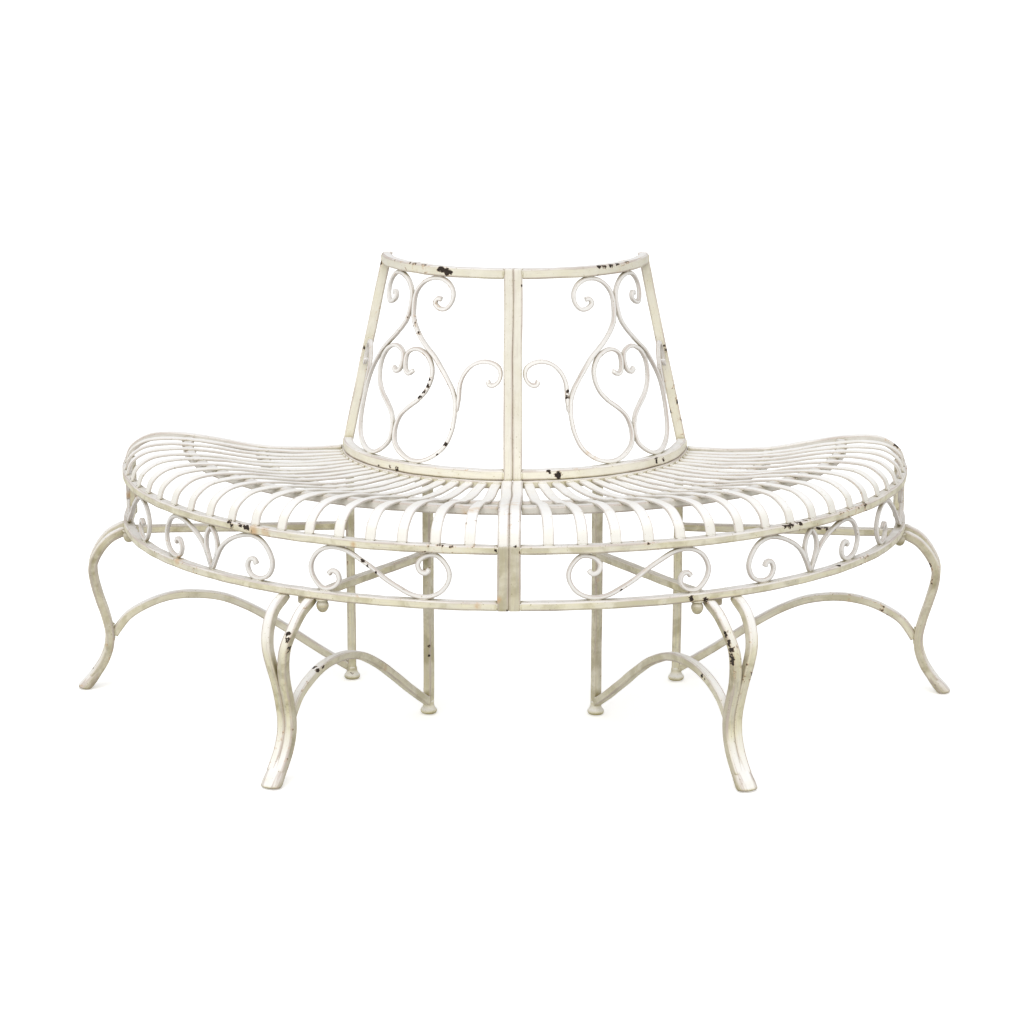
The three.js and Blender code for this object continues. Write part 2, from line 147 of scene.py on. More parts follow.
STRAND_LINE = (
    (72, 336.5), (63, 337.5), (58, 328.5), (69, 319.5), (85, 318.5), (96, 332), (96.5, 349),
    (87, 364.5), (68, 375), (44, 375), (22, 364.5), (6.5, 344), (4.5, 319), (10, 291.5),
    (23, 272.5), (39.5, 255.5), (60, 238.5), (78.5, 224), (98, 203), (114, 184), (127, 166),
    (136, 146.5), (140, 127), (141, 107), (139, 84), (129, 57), (107, 36.5), (80, 25.5),
    (52, 25.5), (26, 37), (9.5, 52), (4.5, 68), (5.8, 88), (14, 107), (33, 125), (54, 141),
    (70, 160), (77.5, 182), (75.5, 204), (63, 223.5), (49, 232.5), (34, 237), (18, 234.5),
    (6, 225), (4.5, 208), (9.5, 193), (19.5, 188.5), (30, 195),
)
SIDE_SCROLL_ROOT = 147.4
SIDE_SCROLL_REACH = 212.6
SIDE_SCROLL_LINE = (
    (145.8, 126), (144.6, 139), (143, 155), (141.5, 168), (141.5, 181), (146, 198), (156, 213),
    (169, 221), (184, 222.5), (198, 218.5), (208.5, 210),
    (SIDE_SCROLL_REACH, 197.5), (210.5, 185.5), (203, 178.5), (195, 179.5), (191, 187),
)

# ---- Smooth lines ----


def smooth_line(points, per_segment=20):
    """Points on the centripetal Catmull-Rom curve through the given ones."""
    p = np.array(points, float)
    p = np.vstack([2 * p[0] - p[1], p, 2 * p[-1] - p[-2]])
    found = []
    t = np.linspace(0, 1, per_segment, endpoint=False)[:, None]
    for p0, p1, p2, p3 in zip(p, p[1:], p[2:], p[3:]):
        d0, d1, d2 = (math.sqrt(np.linalg.norm(b - a)) for a, b in ((p0, p1), (p1, p2), (p2, p3)))
        start = ((p1 - p0) / d0 - (p2 - p0) / (d0 + d1) + (p2 - p1) / d1) * d1
        stop = ((p2 - p1) / d1 - (p3 - p1) / (d1 + d2) + (p3 - p2) / d2) * d1
        cubic = 2 * p1 - 2 * p2 + start + stop
        square = -3 * p1 + 3 * p2 - 2 * start - stop
        found.append(p1 + start * t + square * t**2 + cubic * t**3)
    return np.vstack([*found, p[-2]])


def lengths_along(line):
    return np.concatenate([[0], np.cumsum(np.linalg.norm(np.diff(line, axis=0), axis=1))])


def at_stations(line, stations):
    """Places and unit tangents of a line at the given lengths along it."""
    along = lengths_along(line)
    slope = np.gradient(line, along, axis=0)
    place = np.column_stack([np.interp(stations, along, line[:, k]) for k in range(line.shape[1])])
    tangent = np.column_stack([np.interp(stations, along, slope[:, k]) for k in range(line.shape[1])])
    return place, tangent / np.linalg.norm(tangent, axis=1)[:, None]


def smooth_step(x):
    x = np.clip(x, 0, 1)
    return x * x * (3 - 2 * x)


def mirrored(points):
    return [(-x, y) for x, y in points]


# ---- Solids: a solid is a dict of points, faces, wear, side and flow ----
#
# "wear" is 1 on the corners of a bar and 0 in the middle of its faces; the paint chips the corners more
# and darkens them by it, the darkening partly painted shade. "side" is 1 on the faces that the bar is
# bent across and 0 on the two flat ones; the paint darkens one set of them with painted shade. "flow" is
# the place along and across the bar, so that brush marks and streaks can follow it.


def section_table(arc_steps, face_points):
    """Rows of (shares of the half sizes, arc direction, wear) round a rounded rectangle."""
    rows = []
    for quarter, (ku, kv) in enumerate(((1, 1), (-1, 1), (-1, -1), (1, -1))):
        turn = quarter * QUARTER
        for i in range(arc_steps + 1):
            angle = turn + i / arc_steps * QUARTER
            rows.append((ku, kv, math.cos(angle), math.sin(angle), 1))
        across = turn + QUARTER
        for share, wear in face_points:
            if quarter % 2 == 0:
                rows.append((ku * share, kv, 0, math.sin(across), wear))
            else:
                rows.append((ku, kv * share, math.cos(across), 0, wear))
    return np.array(rows)


FINE_SECTION = section_table(2, ((0.92, 0.7), (0, 0), (-0.92, 0.7)))
SCROLL_SECTION = section_table(2, ((0, 0),))


def rings_to_solid(rings, wear, flow, side=0.5):
    """Closed solid from rings of points, with flat caps at both ends."""
    count, around = rings.shape[:2]
    first = np.arange(count - 1)[:, None] * around
    here = np.arange(around)[None, :]
    after = (here + 1) % around
    quads = np.stack(
        [first + here, first + after, first + around + after, first + around + here], axis=-1
    ).reshape(-1, 4)
    caps = [list(range(around))[::-1], [(count - 1) * around + k for k in range(around)]]
    solid = {
        "points": rings.reshape(-1, 3),
        "faces": quads.tolist() + caps,
        "wear": wear.reshape(-1),
        "side": np.broadcast_to(side, rings.shape[:2]).reshape(-1),
        "flow": flow.reshape(-1, 3),
    }
    return faced_out(solid)


def faced_out(solid):
    """Turns the faces round if they point in."""
    p = solid["points"] - solid["points"].mean(axis=0)
    a, b, c, d = (p[corner] for corner in np.array(solid["faces"][:-2]).T)
    volume = np.einsum("ij,ij->", np.cross(a, b), c) + np.einsum("ij,ij->", np.cross(a, c), d)
    if volume < 0:
        solid["faces"] = [f[::-1] for f in solid["faces"]]
    return solid


# Insets half way round the rounded end of a bar and at its flat cap, as shares of its bevel.
KNEE = 0.3
CAP_INSET = 1.3
SLIGHTEST_HALF = 0.2
LARGEST_CORNER = 0.85


def bar(line, thickness, width, corner=2.4, step=5.0, bevel=1.2, section=FINE_SECTION, dense=False):
    """Bar bent along a flat line: thickness across the line in its plane, width out of the plane.

    Thickness and width are numbers, or functions of the length along the bar and its whole length.
    """
    path = np.array(line, float) if dense else smooth_line(line)
    total = lengths_along(path)[-1]
    inner = np.linspace(bevel, total - bevel, max(2, int(round((total - 2 * bevel) / step)) + 1))
    knee = KNEE * bevel
    stations = np.concatenate([[0, 0, knee], inner, [total - knee, total, total]])
    inset = np.zeros(len(stations))
    inset[:3] = (bevel * CAP_INSET, bevel, knee)
    inset[-3:] = (knee, bevel, bevel * CAP_INSET)
    place, tangent = at_stations(path, stations)
    half = []
    for size in (thickness, width):
        full = size(stations, total) if callable(size) else np.full(len(stations), float(size))
        half.append(np.maximum(full / 2 - inset, SLIGHTEST_HALF))
    radius = np.minimum(corner, LARGEST_CORNER * np.minimum(*half))
    ku, kv, cu, cv, wear = (section[:, k][None, :] for k in range(5))
    u = ku * (half[0] - radius)[:, None] + cu * radius[:, None]
    v = kv * (half[1] - radius)[:, None] + cv * radius[:, None]
    rings = np.empty((*u.shape, 3))
    rings[..., 0] = place[:, :1] - tangent[:, 1:] * u
    rings[..., 1] = place[:, 1:] + tangent[:, :1] * u
    rings[..., 2] = v
    flow = np.stack([np.broadcast_to(stations[:, None], u.shape), u, v], axis=-1)
    return rings_to_solid(rings, np.broadcast_to(wear, u.shape), flow, cu**2)


SMALLEST_RADIUS = 0.02
LATHE_WEAR = 0.4


def lathe(profile, segments=36):
    """Solid turned round the Z axis from (radius, height) points that start and end on the axis."""
    profile = np.array(profile, float)
    profile[:, 0] = np.maximum(profile[:, 0], SMALLEST_RADIUS)
    angle = np.linspace(0, 2 * math.pi, segments, endpoint=False)
    rings = np.empty((len(profile), segments, 3))
    rings[..., 0] = profile[:, :1] * np.cos(angle)
    rings[..., 1] = profile[:, :1] * np.sin(angle)
    rings[..., 2] = profile[:, 1:]
    flow = np.stack(
        [np.broadcast_to(angle * profile[:, :1].max(), rings.shape[:2]), rings[..., 2], rings[..., 2]],
        axis=-1,
    )
    return rings_to_solid(rings, np.full(rings.shape[:2], LATHE_WEAR), flow)


BEAD_RIPPLE = 2.6
BEAD_RIPPLE_SWELL = 0.16
BEAD_SIDES = 8
BEAD_WEAR = 0.55
ODD_DIRECTION = (0.31, 0.17, 0.94)  # not along any bead


def bead(start, end, radius, draw):
    """Lumpy weld bead between two points, which thins out towards its ends."""
    start, end = np.array(start, float), np.array(end, float)
    length = np.linalg.norm(end - start)
    axis = (end - start) / length
    side = np.cross(axis, ODD_DIRECTION)
    side /= np.linalg.norm(side)
    other = np.cross(axis, side)
    ripples = length / BEAD_RIPPLE
    t = np.linspace(0, 1, max(7, int(ripples * 3)))
    size = radius * np.sqrt(np.clip(1 - np.abs(2 * t - 1) ** 3.2, 0.03, 1))
    size = size * (1 + BEAD_RIPPLE_SWELL * np.cos(2 * math.pi * (ripples * t + draw.random())))
    size = size * draw.uniform(0.85, 1.15, len(t))
    angle = np.linspace(0, 2 * math.pi, BEAD_SIDES, endpoint=False)
    middle = start + np.outer(t, end - start)
    rings = (
        middle[:, None]
        + size[:, None, None] * np.cos(angle)[None, :, None] * side
        + size[:, None, None] * np.sin(angle)[None, :, None] * other
    )
    flow = np.broadcast_to(t[:, None, None] * length, rings.shape).copy()
    return rings_to_solid(rings, np.full(rings.shape[:2], BEAD_WEAR), flow)


def moved(solid, change):
    """Solid with its points (columns x, y, z) moved by a function."""
    x, y, z = change(*solid["points"].T)
    return {**solid, "points": np.column_stack([x, y, z])}


FLOW_STRIDE = 731.0  # keeps the brush marks of joined solids apart


def joined(solids):
    """One solid of several, each with brush marks of its own."""
    offset = 0
    whole = {"points": [], "faces": [], "wear": [], "side": [], "flow": []}
    for i, solid in enumerate(solids):
        whole["points"].append(solid["points"])
        whole["faces"] += [[k + offset for k in face] for face in solid["faces"]]
        whole["wear"].append(solid["wear"])
        whole["side"].append(solid["side"])
        whole["flow"].append(solid["flow"] + FLOW_STRIDE * i)
        offset += len(solid["points"])
    for key in ("points", "wear", "side", "flow"):
        whole[key] = np.concatenate(whole[key])
    return whole


# ---- Ways to place a flat shape in the ring frame ----


def stand(azimuth):
    """(radius, height, sideways) to the ring frame, in the radial plane at an azimuth in degrees."""
    c, s = math.cos(math.radians(azimuth)), math.sin(math.radians(azimuth))
    return lambda x, y, z: (x * s - z * c, -x * c - z * s, y)


def on_ring(radius, azimuth, height):
    return radius * np.sin(azimuth), -radius * np.cos(azimuth), height


def back_radius(height):
    return BACK_BASE_RADIUS - BACK_LEAN * (height - BACK_BASE)


def wrap_back(x, y, z):
    radius = back_radius(y) - RAIL_DEPTH / 2
    return on_ring(radius + z, QUARTER / 2 + (x + BACK_SCROLL_SHIFT) / radius, y)


def wrap_apron(x, y, z):
    radius = RIM_RADIUS - RAIL_DEPTH / 2
    return on_ring(radius + z, QUARTER / 2 + x / radius, y)


def fit_between(points, rail_top, rail_bottom):
    """Stretches a line in height so that a scroll bar bent along it just fits between two rails."""
    heights = smooth_line(points)[:, 1]
    clearance = SCROLL_BAR / 2
    low, high = rail_top + clearance, rail_bottom - clearance
    scale = (high - low) / (heights.max() - heights.min())
    return [(x, low + (y - heights.min()) * scale) for x, y in points]


# ---- Pieces ----

FORGE_WAVES = np.random.default_rng(7)
WAVE_COUNT = 7
WAVE_DIRECTIONS = FORGE_WAVES.normal(size=(WAVE_COUNT, 3))
WAVE_DIRECTIONS /= np.linalg.norm(WAVE_DIRECTIONS, axis=1)[:, None]
WAVE_LENGTHS = FORGE_WAVES.uniform(55, 210, WAVE_COUNT)
WAVE_PHASES = FORGE_WAVES.uniform(0, 2 * math.pi, WAVE_COUNT)
WAVE_PUSHES = FORGE_WAVES.normal(size=(WAVE_COUNT, 3)) * 0.16


def hand_forged(points):
    """Shifts points by a slow wave, up to about half a millimetre, so that no bar is dead straight."""
    shift = np.zeros_like(points)
    for direction, length, phase, push in zip(WAVE_DIRECTIONS, WAVE_LENGTHS, WAVE_PHASES, WAVE_PUSHES):
        shift += np.outer(np.sin(points @ direction * (2 * math.pi / length) + phase), push)
    return points + shift


def spots_at(points, spots):
    """1 at the heart of each spot of a list, falling to 0 at its rim."""
    found = np.zeros(len(points))
    for azimuth, radius, height, reach in spots:
        turn = math.radians(azimuth)
        heart = (radius * math.sin(turn), RING_CENTRE - radius * math.cos(turn), height)
        distance = np.linalg.norm(points - np.array(heart), axis=1)
        found = np.maximum(found, 1 - distance / reach)
    return np.clip(found, 0, 1)


# Bigger paint chips and rust stains of this bench, as (azimuth, radius, height, reach). Azimuths
# are in degrees from the seam, and below zero on the left.
RAIL_CHIPS = (
    (-32, 270, 878, 9), (-29, 269, 875, 10), (-27, 269, 874, 8), (38.5, 268, 883, 7),
    (41, 269, 881, 8), (45, 269, 882, 6), (49, 268, 883, 6), (7.5, 269, 876, 5),
    (-49, 352, 489, 7), (-43.5, 352, 491, 7), (-40.5, 352, 489, 9), (11.5, 352, 501, 6),
    (14.5, 352, 494, 10), (53.5, 352, 497, 9), (58, 352, 494, 7),
    (-40.5, 800, 460, 10), (-40, 800, 452, 8), (-38.5, 800, 458, 8), (-37.3, 800, 455, 9),
    (39, 800, 459, 9), (40.2, 800, 458, 10), (41.8, 797, 460, 9), (43.4, 792, 460, 7),
    (24.2, 800, 349, 7), (26.4, 800, 344, 7), (50.7, 797, 357, 6), (-36.9, 800, 343, 5),
)
UPRIGHT_CHIPS = (
    (-86.5, 305, 688, 7), (87, 304, 695, 7), (87, 306, 684, 7),
    (3.6, 274, 852, 5), (0.7, 798, 460, 6), (-1.7, 800, 452, 4), (-0.3, 800, 342, 5),
)
SCROLL_CHIPS = (
    (-32, 308, 667, 6), (-32.5, 311, 655, 7), (-33.7, 314, 643, 7), (-35.1, 316, 632, 6),
    (-21.5, 326, 575, 5), (-23, 334, 547, 6), (-25.7, 340, 525, 5),
    (20, 312, 650, 7), (19.5, 315, 639, 8), (-19.4, 794, 420, 6), (-18.8, 794, 411, 6),
    (-17.5, 794, 400, 4), (14.7, 794, 373, 5), (15.4, 794, 377, 4),
)
SEAT_CHIPS = (
    (-72, 793, 463, 5), (-67.5, 795, 463, 5), (-78.5, 784, 461, 5), (-88.7, 797, 460, 5),
    (-83.6, 795, 461, 5), (66.4, 792, 468, 5), (63.3, 793, 468, 5), (88.4, 788, 467, 5),
    (76.4, 790, 478, 4),
)
LEG_CHIPS = (
    (80.8, 628, 337, 9), (80.8, 643, 337, 10), (80.8, 657, 336, 8), (-29.5, 736, 191, 7),
    (-28.6, 742, 188, 8), (-28.6, 726, 189, 7), (28.6, 741, 181, 7), (28.6, 749, 176, 5),
    (-27.5, 864, 290, 7), (-27.4, 867, 278, 7), (-27.3, 866, 263, 7), (26.9, 858, 291, 7),
    (27.1, 864, 277, 8), (27.3, 868, 263, 8), (27.4, 868, 250, 8), (27.5, 868, 240, 7),
    (-28.3, 348, 141, 6), (-28.3, 348, 122, 6), (-79.4, 342, 14, 6),
)
CHIPS = RAIL_CHIPS + UPRIGHT_CHIPS + SCROLL_CHIPS + SEAT_CHIPS + LEG_CHIPS
STAINS = (
    (-78, 787, 412, 14), (-68, 795, 440, 12), (-36, 800, 451, 16), (-34, 800, 452, 15),
    (-20.5, 800, 450, 9), (-4, 800, 350, 9), (-52.5, 798, 356, 14), (-1.4, 800, 362, 9),
    (-52, 347, 520, 12),
)


FLOW_OFFSETS = 977  # number of places that the brush marks of a piece can start from


def piece(name, solid, paint, *nodes, left=False):
    """Makes the mesh object of one piece from a solid in the ring frame."""
    material, slot = paint
    points = solid["points"] * ((-1, 1, 1) if left else (1, 1, 1))
    points = hand_forged(points)
    points[:, 2] = np.maximum(points[:, 2], 0)
    points[:, 1] += RING_CENTRE
    faces = [f[::-1] for f in solid["faces"]] if left else solid["faces"]
    mesh = bpy.data.meshes.new(name)
    mesh.from_pydata((points * MM).tolist(), [], faces)
    mesh.shade_smooth()
    sharp = np.array([len(f) > 4 for f in faces])
    mesh.attributes.new("sharp_face", "BOOLEAN", "FACE").data.foreach_set("value", sharp)
    shares = {
        "edge_wear": solid["wear"],
        "bar_side": solid["side"],
        "known_chip": spots_at(points, CHIPS),
        "known_stain": spots_at(points, STAINS),
    }
    for attribute, values in shares.items():
        made = mesh.attributes.new(attribute, "FLOAT", "POINT")
        made.data.foreach_set("value", values.astype(np.float32))
    flow = (solid["flow"] + zlib.crc32(name.encode()) % FLOW_OFFSETS) * MM
    mesh.attributes.new("bar_flow", "FLOAT_VECTOR", "POINT").data.foreach_set(
        "vector", flow.astype(np.float32).ravel()
    )
    mesh.materials.append(material)
    made = bpy.data.objects.new(name, mesh)
    bpy.context.scene.collection.objects.link(made)
    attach(made, "root")
    if nodes:
        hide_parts(*nodes)


# ---- Rails, posts and uprights ----


def rail(outer_radius, bottom, inset, height=RAIL_HEIGHT):
    """Rolled rail of a quarter, cut square at both sides of the quarter."""
    middle = outer_radius - RAIL_DEPTH / 2
    length = middle * QUARTER
    line = ((0, bottom + height / 2), (length, bottom + height / 2))
    straight = bar(line, height, RAIL_DEPTH, corner=RAIL_CORNER)

    def bend(x, y, z):
        radius = middle + z
        start = np.arcsin(inset / radius)
        return on_ring(radius, start + (QUARTER - 2 * start) * x / length, y)

    return moved(straight, bend)


def back_rail(bottom):
    radius = back_radius(bottom + BACK_RAIL_HEIGHT / 2)
    return rail(radius, bottom, UPRIGHT_INSET, BACK_RAIL_HEIGHT)


def sideways_at(side, width):
    """Middle of a bar beside the seam plane (side 0) or beside the free end (side 90)."""
    return (SEAM_HALF_GAP + width / 2) * (-1 if side == 0 else 1)


def towards_seam(side):
    """Lets a bar beside the seam swell a little into the gap, as its thick paint does."""
    swell = SEAM_PAINT if side == 0 else 0

    def fill(x, y, z):
        return x, y, np.where(z > -SEAM_HALF_GAP - POST_WIDTH / 3, z + swell, z)

    return fill


def apron_post(side):
    middle = RIM_RADIUS - FIT_GAP - RAIL_DEPTH / 2
    post = bar(((middle, APRON_BOTTOM), (middle, SEAT_RIM_TOP + FIT_GAP)), RAIL_DEPTH, POST_WIDTH)
    shift = sideways_at(side, POST_WIDTH)
    post = moved(moved(post, lambda x, y, z: (x, y, z + shift)), towards_seam(side))
    return moved(post, stand(side))


def back_upright(side):
    post = bar(((-RAIL_DEPTH / 2, BACK_BASE), (-RAIL_DEPTH / 2, BACK_TOP)), RAIL_DEPTH, UPRIGHT_WIDTH)
    shift = sideways_at(side, UPRIGHT_WIDTH)
    leaning = moved(post, lambda x, y, z: (x + back_radius(y), y, z + shift))
    return moved(moved(leaning, towards_seam(side)), stand(side))


# ---- Seat ----

SLAT_BEDDING = 0.8
SAG_SPREAD, DRIFT_SPREAD, TWIST_SPREAD = 0.7, 0.5, 0.012


def on_rim(x, y, z):
    """Keeps the foot of a slat on top of the rim, bedded in its paint."""
    return x, np.maximum(y, SEAT_RIM_TOP - SLAT_BEDDING), z


def seat_slat(azimuth, draw):
    """Flat slat with a little sag, twist and drift of its own."""
    sag, drift, twist = (draw.normal(0, k) for k in (SAG_SPREAD, DRIFT_SPREAD, TWIST_SPREAD))
    solid = moved(bar(SLAT_LINE, SLAT_THICKNESS, SLAT_WIDTH, corner=1.3, bevel=0.9), on_rim)
    start, stop = SLAT_LINE[0][0], SLAT_LINE[-1][0]

    def settle(x, y, z):
        arch = np.sin(np.clip((x - start) / (stop - start), 0, 1) * math.pi)
        return x, y + arch * (sag + z * twist), z + drift * arch

    return moved(moved(solid, settle), stand(azimuth))


def seat_grille(draw):
    """The slats of a quarter and the two hoops under them; the hoops get no painted side shade on any
    face.
    """
    hoops = [
        rail(radius, top - RAIL_HEIGHT, POST_INSET) for radius, top in zip(HOOP_RADII, HOOP_TOPS)
    ]
    for hoop in hoops:
        hoop["side"] = np.zeros_like(hoop["side"])
    return joined(hoops + [seat_slat(azimuth, draw) for azimuth in SLAT_AZIMUTHS])


def seat_side_bar(side):
    """Heavier bar along a side of the seat, whose foot is welded flush with the face of the post."""
    solid = bar(END_BAR_LINE, END_BAR_THICKNESS, POST_WIDTH, corner=2.8)
    shift = sideways_at(side, POST_WIDTH)
    shifted = moved(solid, lambda x, y, z: (x, y, z + shift))
    return moved(moved(shifted, towards_seam(side)), stand(side))


# ---- Scrollwork ----

TIP_LENGTH = 42
TIP_SWELL = 0.12
SCARF_LENGTH = 26
SCARF_SHARE = 0.35
HAMMER_MARKS = ((0.22, 17.0, 0), (0.16, 6.1, 1.3))  # height, length and phase of each wave


def scroll(points, tips=(False, True), scarfed=False):
    """Forged scroll bar, hammered a little thicker towards each hooked end.

    A scarfed bar starts thin instead, so that it lies close against the bar that it springs from.
    """

    def thickness(s, total):
        tip = np.zeros_like(s)
        if tips[0]:
            tip = np.maximum(tip, 1 - smooth_step(s / TIP_LENGTH))
        if tips[1]:
            tip = np.maximum(tip, 1 - smooth_step((total - s) / TIP_LENGTH))
        forged = sum(height * np.sin(s / length + phase) for height, length, phase in HAMMER_MARKS)
        drawn = np.interp(s, (0, SCARF_LENGTH), (SCARF_SHARE, 1)) if scarfed else 1
        return SCROLL_BAR * drawn * (1 + TIP_SWELL * tip) + forged

    return bar(points, thickness, SCROLL_BAR, corner=1.9, step=4.0, bevel=0.9, section=SCROLL_SECTION)


def s_scroll_line(mirror):
    turned = [(-x, -y) for x, y in S_SCROLL_HALF[::-1]]
    line = [(S_SCROLL_MIDDLE - x, y) for x, y in (*turned, (0, 0), *S_SCROLL_HALF)]
    return apron_fit(mirrored(line) if mirror else line)


def apron_fit(points):
    return fit_between(points, APRON_BOTTOM + RAIL_HEIGHT, SEAT_RIM_BOTTOM)


def back_strand_line(mirror):
    line = fit_between(STRAND_LINE, BACK_RAIL_HEIGHT, BACK_TOP - BACK_BASE - BACK_RAIL_HEIGHT)
    line = [(x, y + BACK_BASE) for x, y in line]
    return mirrored(line) if mirror else line


def side_scroll_line(mirror):
    """Side scroll, stretched sideways from its root so that its curl ends at the upright."""
    stretch = BACK_SCROLL_SHIFT * (1 if mirror else -1)
    scale = 1 + stretch / (SIDE_SCROLL_REACH - SIDE_SCROLL_ROOT)
    line = [
        (SIDE_SCROLL_ROOT + (x - SIDE_SCROLL_ROOT) * scale, y + BACK_BASE) for x, y in SIDE_SCROLL_LINE
    ]
    return mirrored(line) if mirror else line


# ---- Legs ----

SPREAD = smooth_line(STRAND_SPREAD, 8)
STRAND_END = ((861, 38), (871, 25))
HOOF_TOP = 78
HOOF_PLACES = (0, 0.3, 0.55, 0.8, 0.93, 1)
HOOF_THICKNESS = (10, 16, 19.4, 24, 27, 24)
HOOF_WIDTH = (24, 33, 37, 40, 38, 28)
SOLE_SOFTNESS = 6.0
SOLE_DROP = 1.2


def leg_strand(side):
    """One strand of a cabriole leg, which ends inside the hoof."""
    line = (*LEG_LINE[:-3], *STRAND_END)
    solid = bar(line, STRAND_BAR, STRAND_BAR, corner=3.6)

    def spread(x, y, z):
        height = np.minimum(y, APRON_BOTTOM)
        return x, height, z + side * np.interp(y, SPREAD[:, 0], SPREAD[:, 1])

    return moved(solid, spread)


def hoof():
    """Forged foot: the two strands run together, flatten and flare towards a rounded toe."""
    path = smooth_line(LEG_LINE)
    path = path[path[:, 1] < HOOF_TOP]

    def thickness(s, total):
        return np.interp(s / total, HOOF_PLACES, HOOF_THICKNESS)

    def width(s, total):
        return np.interp(s / total, HOOF_PLACES, HOOF_WIDTH)

    solid = bar(path, thickness, width, corner=10, step=3.0, bevel=5.0, dense=True)

    def settle(x, y, z):
        return x, SOLE_SOFTNESS * np.log1p(np.exp(y / SOLE_SOFTNESS)) - SOLE_DROP, z

    return moved(solid, settle)


def inner_leg():
    top = INNER_RIM_TOP - RAIL_HEIGHT
    tube = bar(((INNER_LEG_RADIUS, 10), (INNER_LEG_RADIUS, top)), INNER_LEG_WIDTH, INNER_LEG_WIDTH)
    r, h = FOOT_CAP_RADIUS, FOOT_CAP_HEIGHT
    profile = smooth_line(
        (
            (0, 0), (r * 0.55, 0.2), (r * 0.86, 1.2), (r, 5), (r * 0.97, 9), (r * 0.8, 12.5),
            (r * 0.66, h), (r * 0.62, h + 7), (r * 0.5, h + 9), (0, h + 9.5),
        ),
        6,
    )
    cap = lathe(profile)
    return joined([tube, moved(cap, lambda x, y, z: (x + INNER_LEG_RADIUS, z, y))])


def arch_stretcher():
    return bar(ARCH_LINE, LEG_BAR, LEG_BAR, corner=2.6)


def brace():
    start = INNER_LEG_RADIUS + INNER_LEG_WIDTH / 2 - SUNK
    end = RIM_RADIUS - RAIL_DEPTH + SUNK
    return bar(((start, BRACE_HEIGHTS[0]), (end, BRACE_HEIGHTS[1])), LEG_BAR, LEG_BAR, corner=2.6)


def dome_nut():
    """Cap nut on a washer, under the apron rim."""
    r, h = NUT_RADIUS, NUT_HEIGHT
    profile = smooth_line(
        (
            (0, 0.5), (r * 0.9, 0.4), (r * 1.04, 0), (r * 1.08, -1.2), (r, -2.4), (r * 0.8, -3),
            (r * 0.84, -h * 0.24), (r * 0.97, -h * 0.36), (r * 0.96, -h * 0.58),
            (r * 0.76, -h * 0.8), (r * 0.4, -h * 0.96), (0, -h),
        ),
        6,
    )
    nut = lathe(profile, 30)
    return moved(nut, lambda x, y, z: (x + LEG_TOP_RADIUS, z + APRON_BOTTOM, y + NUT_OFFSET))


# ---- Welds ----


def touches(line_a, line_b, reach):
    """Middles and directions of the places where two smooth lines come within reach of each other."""
    a, b = smooth_line(line_a, 12), smooth_line(line_b, 12)
    distances = np.linalg.norm(a[:, None] - b[None], axis=2)
    nearest = distances.min(axis=1)
    partner = b[distances.argmin(axis=1)]
    direction = np.gradient(a, axis=0)
    close = np.flatnonzero(nearest < reach)
    runs = np.split(close, np.flatnonzero(np.diff(close) > 1) + 1) if len(close) else []
    found = []
    for run in runs:
        best = run[nearest[run].argmin()]
        unit = direction[best] / np.linalg.norm(direction[best])
        found.append(((a[best] + partner[best]) / 2, unit))
    return found


def rail_touches(line, low, high):
    """Places where a scroll line comes up against the rail below or above it."""
    path = smooth_line(line, 12)
    found = []
    for i in range(2, len(path) - 2):
        height = path[i, 1]
        lowest = height <= path[i - 2 : i + 3, 1].min() and height < low + SCROLL_BAR / 2 + 1.5
        highest = height >= path[i - 2 : i + 3, 1].max() and height > high - SCROLL_BAR / 2 - 1.5
        if lowest:
            found.append((path[i, 0], low))
        if highest:
            found.append((path[i, 0], high))
    return found


def flat_bead(centre, unit, length, radius, draw, depth=0.0):
    """Bead in the plane of a scroll panel, along a direction."""
    half = np.array((unit[0], unit[1], 0)) * length / 2
    middle = np.array((centre[0], centre[1], depth))
    return bead(middle - half, middle + half, radius, draw)


RAIL_BEAD_LENGTHS, RAIL_BEAD_RADIUS, RAIL_BEAD_DEPTH = (17, 24), 2.5, 1.6
CROSS_BEAD_LENGTHS, CROSS_BEAD_RADIUS, CROSS_BEAD_REACH = (12, 19), 2.7, 2.2


def scroll_welds(lines, low, high, place, draw):
    """Beads where the scrolls of a panel touch its rails and each other, front and back."""
    beads = []
    for depth in (-RAIL_BEAD_DEPTH, RAIL_BEAD_DEPTH):
        for line in lines:
            for centre in rail_touches(line, low, high):
                length = draw.uniform(*RAIL_BEAD_LENGTHS)
                beads.append(flat_bead(centre, (1, 0), length, RAIL_BEAD_RADIUS, draw, depth))
    for i, line in enumerate(lines):
        for other in lines[i + 1 :]:
            for centre, unit in touches(line, other, SCROLL_BAR + CROSS_BEAD_REACH):
                length = draw.uniform(*CROSS_BEAD_LENGTHS)
                beads.append(flat_bead(centre, unit, length, CROSS_BEAD_RADIUS, draw))
    return [moved(b, place) for b in beads]


SLAT_BEAD_MARGIN = 1.5
SLAT_BEAD_RISE = 0.3
HOOP_BEAD_RADIUS = 2.0


